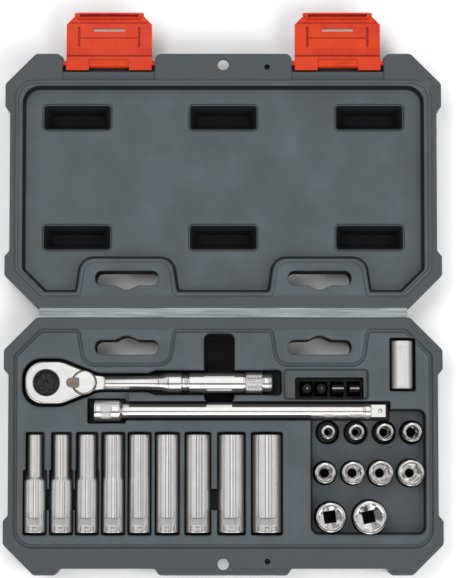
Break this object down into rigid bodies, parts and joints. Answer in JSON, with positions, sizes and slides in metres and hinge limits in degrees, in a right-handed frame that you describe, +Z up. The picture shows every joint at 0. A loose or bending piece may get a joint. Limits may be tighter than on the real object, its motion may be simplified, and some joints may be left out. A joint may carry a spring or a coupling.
{
  "type": "socket wrench set in case",
  "caption": "Open two-part carrying case with a living hinge and swing latches, holding a ratchet, an extension bar, deep and short sockets, a bit holder and screwdriver bits.",
  "frame": {"origin": "centre of the base's flat underside, in the plane that the open case lies on", "axes": "+X to the right along the hinge, +Y from the base to the open lid, +Z up out of the case"},
  "size_m": [0.229, 0.2953, 0.029],
  "materials": {
    "case_plastic": "fine satin grain, slate grey",
    "hinge_plastic": "stretched smooth, paler than the case",
    "latch_plastic": "semi-gloss orange red",
    "chrome_plate": "polished and satin chrome plate",
    "dark_steel": "dark phosphate finish"
  },
  "bodies": {
    "base": {"case_base": "case_plastic", "living_hinge": "hinge_plastic"},
    "lid": {"case_lid": "case_plastic"},
    "latch_left": {"latch_left": "latch_plastic"},
    "latch_right": {"latch_right": "latch_plastic"},
    "ratchet": {"ratchet_body": "chrome_plate", "retaining_ring": "dark_steel", "pawl_pin": "dark_steel"},
    "gear": {"drive_gear": "dark_steel", "drive_ball_spring": "dark_steel"},
    "drive_ball": {"drive_ball": "chrome_plate"},
    "pawl": {"pawl": "dark_steel"},
    "lever": {"reversing_lever": "chrome_plate", "pawl_plunger": "dark_steel", "plunger_spring": "dark_steel"},
    "extension": {"extension_bar": "chrome_plate", "extension_ball_spring": "dark_steel"},
    "extension_ball": {"extension_ball": "chrome_plate"},
    "bit_holder": {"bit_holder": "chrome_plate", "bit_magnet": "dark_steel"},
    "bit_phillips_large": {"bit_phillips_large": "dark_steel"},
    "bit_phillips_small": {"bit_phillips_small": "dark_steel"},
    "bit_slotted_large": {"bit_slotted_large": "dark_steel"},
    "bit_slotted_small": {"bit_slotted_small": "dark_steel"},
    "deep_socket_5_32": {"deep_socket_5_32": "chrome_plate"},
    "deep_socket_3_16": {"deep_socket_3_16": "chrome_plate"},
    "deep_socket_7_32": {"deep_socket_7_32": "chrome_plate"},
    "deep_socket_1_4": {"deep_socket_1_4": "chrome_plate"},
    "deep_socket_9_32": {"deep_socket_9_32": "chrome_plate"},
    "deep_socket_5_16": {"deep_socket_5_16": "chrome_plate"},
    "deep_socket_11_32": {"deep_socket_11_32": "chrome_plate"},
    "deep_socket_3_8": {"deep_socket_3_8": "chrome_plate"},
    "deep_socket_7_16": {"deep_socket_7_16": "chrome_plate"},
    "short_socket_5_32": {"short_socket_5_32": "chrome_plate"},
    "short_socket_3_16": {"short_socket_3_16": "chrome_plate"},
    "short_socket_7_32": {"short_socket_7_32": "chrome_plate"},
    "short_socket_1_4": {"short_socket_1_4": "chrome_plate"},
    "short_socket_9_32": {"short_socket_9_32": "chrome_plate"},
    "short_socket_5_16": {"short_socket_5_16": "chrome_plate"},
    "short_socket_11_32": {"short_socket_11_32": "chrome_plate"},
    "short_socket_3_8": {"short_socket_3_8": "chrome_plate"},
    "short_socket_7_16": {"short_socket_7_16": "chrome_plate"},
    "short_socket_1_2": {"short_socket_1_2": "chrome_plate"}
  },
  "joints": [
    {"name": "lid_hinge", "type": "hinge", "parent": "base", "child": "lid", "pos_m": [0, 0.0695, 0.02525], "axis": [-1, 0, 0], "range_deg": [-180, 0]},
    {"name": "latch_left_hinge", "type": "hinge", "parent": "lid", "child": "latch_left", "pos_m": [-0.0602, 0.2013, 0.0218], "axis": [-1, 0, 0], "range_deg": [-90, 0]},
    {"name": "latch_right_hinge", "type": "hinge", "parent": "lid", "child": "latch_right", "pos_m": [0.0602, 0.2013, 0.0218], "axis": [-1, 0, 0], "range_deg": [-90, 0]},
    {"name": "ratchet_lift", "type": "slide", "parent": "base", "child": "ratchet", "axis": [0, 0, 1], "range_m": [0, 0.08]},
    {"name": "gear_turn", "type": "hinge", "parent": "ratchet", "child": "gear", "pos_m": [-0.0923, 0.033, 0.0186], "axis": [0, 0, 1], "continuous": true},
    {"name": "drive_ball_press", "type": "slide", "parent": "gear", "child": "drive_ball", "axis": [1, 0, 0], "range_m": [-0.0005, 0], "stiffness_N_per_m": 400},
    {"name": "lever_turn", "type": "hinge", "parent": "ratchet", "child": "lever", "pos_m": [-0.0725, 0.033, 0.0186], "axis": [0, 0, 1], "range_deg": [-20, 20]},
    {"name": "pawl_rock", "type": "hinge", "parent": "ratchet", "child": "pawl", "pos_m": [-0.0799, 0.033, 0.0186], "axis": [0, 0, 1], "range_deg": [-4, 4]},
    {"name": "extension_lift", "type": "slide", "parent": "base", "child": "extension", "axis": [0, 0, 1], "range_m": [0, 0.08]},
    {"name": "extension_ball_press", "type": "slide", "parent": "extension", "child": "extension_ball", "axis": [0, 0, 1], "range_m": [-0.0005, 0], "stiffness_N_per_m": 400},
    {"name": "bit_holder_lift", "type": "slide", "parent": "base", "child": "bit_holder", "axis": [0, 0, 1], "range_m": [0, 0.08]},
    {"name": "bit_phillips_large_lift", "type": "slide", "parent": "base", "child": "bit_phillips_large", "axis": [0, 0, 1], "range_m": [0, 0.08]},
    {"name": "bit_phillips_small_lift", "type": "slide", "parent": "base", "child": "bit_phillips_small", "axis": [0, 0, 1], "range_m": [0, 0.08]},
    {"name": "bit_slotted_large_lift", "type": "slide", "parent": "base", "child": "bit_slotted_large", "axis": [0, 0, 1], "range_m": [0, 0.08]},
    {"name": "bit_slotted_small_lift", "type": "slide", "parent": "base", "child": "bit_slotted_small", "axis": [0, 0, 1], "range_m": [0, 0.08]},
    {"name": "deep_socket_5_32_lift", "type": "slide", "parent": "base", "child": "deep_socket_5_32", "axis": [0, 0, 1], "range_m": [0, 0.08]},
    {"name": "deep_socket_3_16_lift", "type": "slide", "parent": "base", "child": "deep_socket_3_16", "axis": [0, 0, 1], "range_m": [0, 0.08]},
    {"name": "deep_socket_7_32_lift", "type": "slide", "parent": "base", "child": "deep_socket_7_32", "axis": [0, 0, 1], "range_m": [0, 0.08]},
    {"name": "deep_socket_1_4_lift", "type": "slide", "parent": "base", "child": "deep_socket_1_4", "axis": [0, 0, 1], "range_m": [0, 0.08]},
    {"name": "deep_socket_9_32_lift", "type": "slide", "parent": "base", "child": "deep_socket_9_32", "axis": [0, 0, 1], "range_m": [0, 0.08]},
    {"name": "deep_socket_5_16_lift", "type": "slide", "parent": "base", "child": "deep_socket_5_16", "axis": [0, 0, 1], "range_m": [0, 0.08]},
    {"name": "deep_socket_11_32_lift", "type": "slide", "parent": "base", "child": "deep_socket_11_32", "axis": [0, 0, 1], "range_m": [0, 0.08]},
    {"name": "deep_socket_3_8_lift", "type": "slide", "parent": "base", "child": "deep_socket_3_8", "axis": [0, 0, 1], "range_m": [0, 0.08]},
    {"name": "deep_socket_7_16_lift", "type": "slide", "parent": "base", "child": "deep_socket_7_16", "axis": [0, 0, 1], "range_m": [0, 0.08]},
    {"name": "short_socket_5_32_lift", "type": "slide", "parent": "base", "child": "short_socket_5_32", "axis": [0, 0, 1], "range_m": [0, 0.08]},
    {"name": "short_socket_3_16_lift", "type": "slide", "parent": "base", "child": "short_socket_3_16", "axis": [0, 0, 1], "range_m": [0, 0.08]},
    {"name": "short_socket_7_32_lift", "type": "slide", "parent": "base", "child": "short_socket_7_32", "axis": [0, 0, 1], "range_m": [0, 0.08]},
    {"name": "short_socket_1_4_lift", "type": "slide", "parent": "base", "child": "short_socket_1_4", "axis": [0, 0, 1], "range_m": [0, 0.08]},
    {"name": "short_socket_9_32_lift", "type": "slide", "parent": "base", "child": "short_socket_9_32", "axis": [0, 0, 1], "range_m": [0, 0.08]},
    {"name": "short_socket_5_16_lift", "type": "slide", "parent": "base", "child": "short_socket_5_16", "axis": [0, 0, 1], "range_m": [0, 0.08]},
    {"name": "short_socket_11_32_lift", "type": "slide", "parent": "base", "child": "short_socket_11_32", "axis": [0, 0, 1], "range_m": [0, 0.08]},
    {"name": "short_socket_3_8_lift", "type": "slide", "parent": "base", "child": "short_socket_3_8", "axis": [0, 0, 1], "range_m": [0, 0.08]},
    {"name": "short_socket_7_16_lift", "type": "slide", "parent": "base", "child": "short_socket_7_16", "axis": [0, 0, 1], "range_m": [0, 0.08]},
    {"name": "short_socket_1_2_lift", "type": "slide", "parent": "base", "child": "short_socket_1_2", "axis": [0, 0, 1], "range_m": [0, 0.08]}
  ],
  "couplings": [
    {"joint": "pawl_rock", "follows": "lever_turn", "ratio": -0.2}
  ]
}
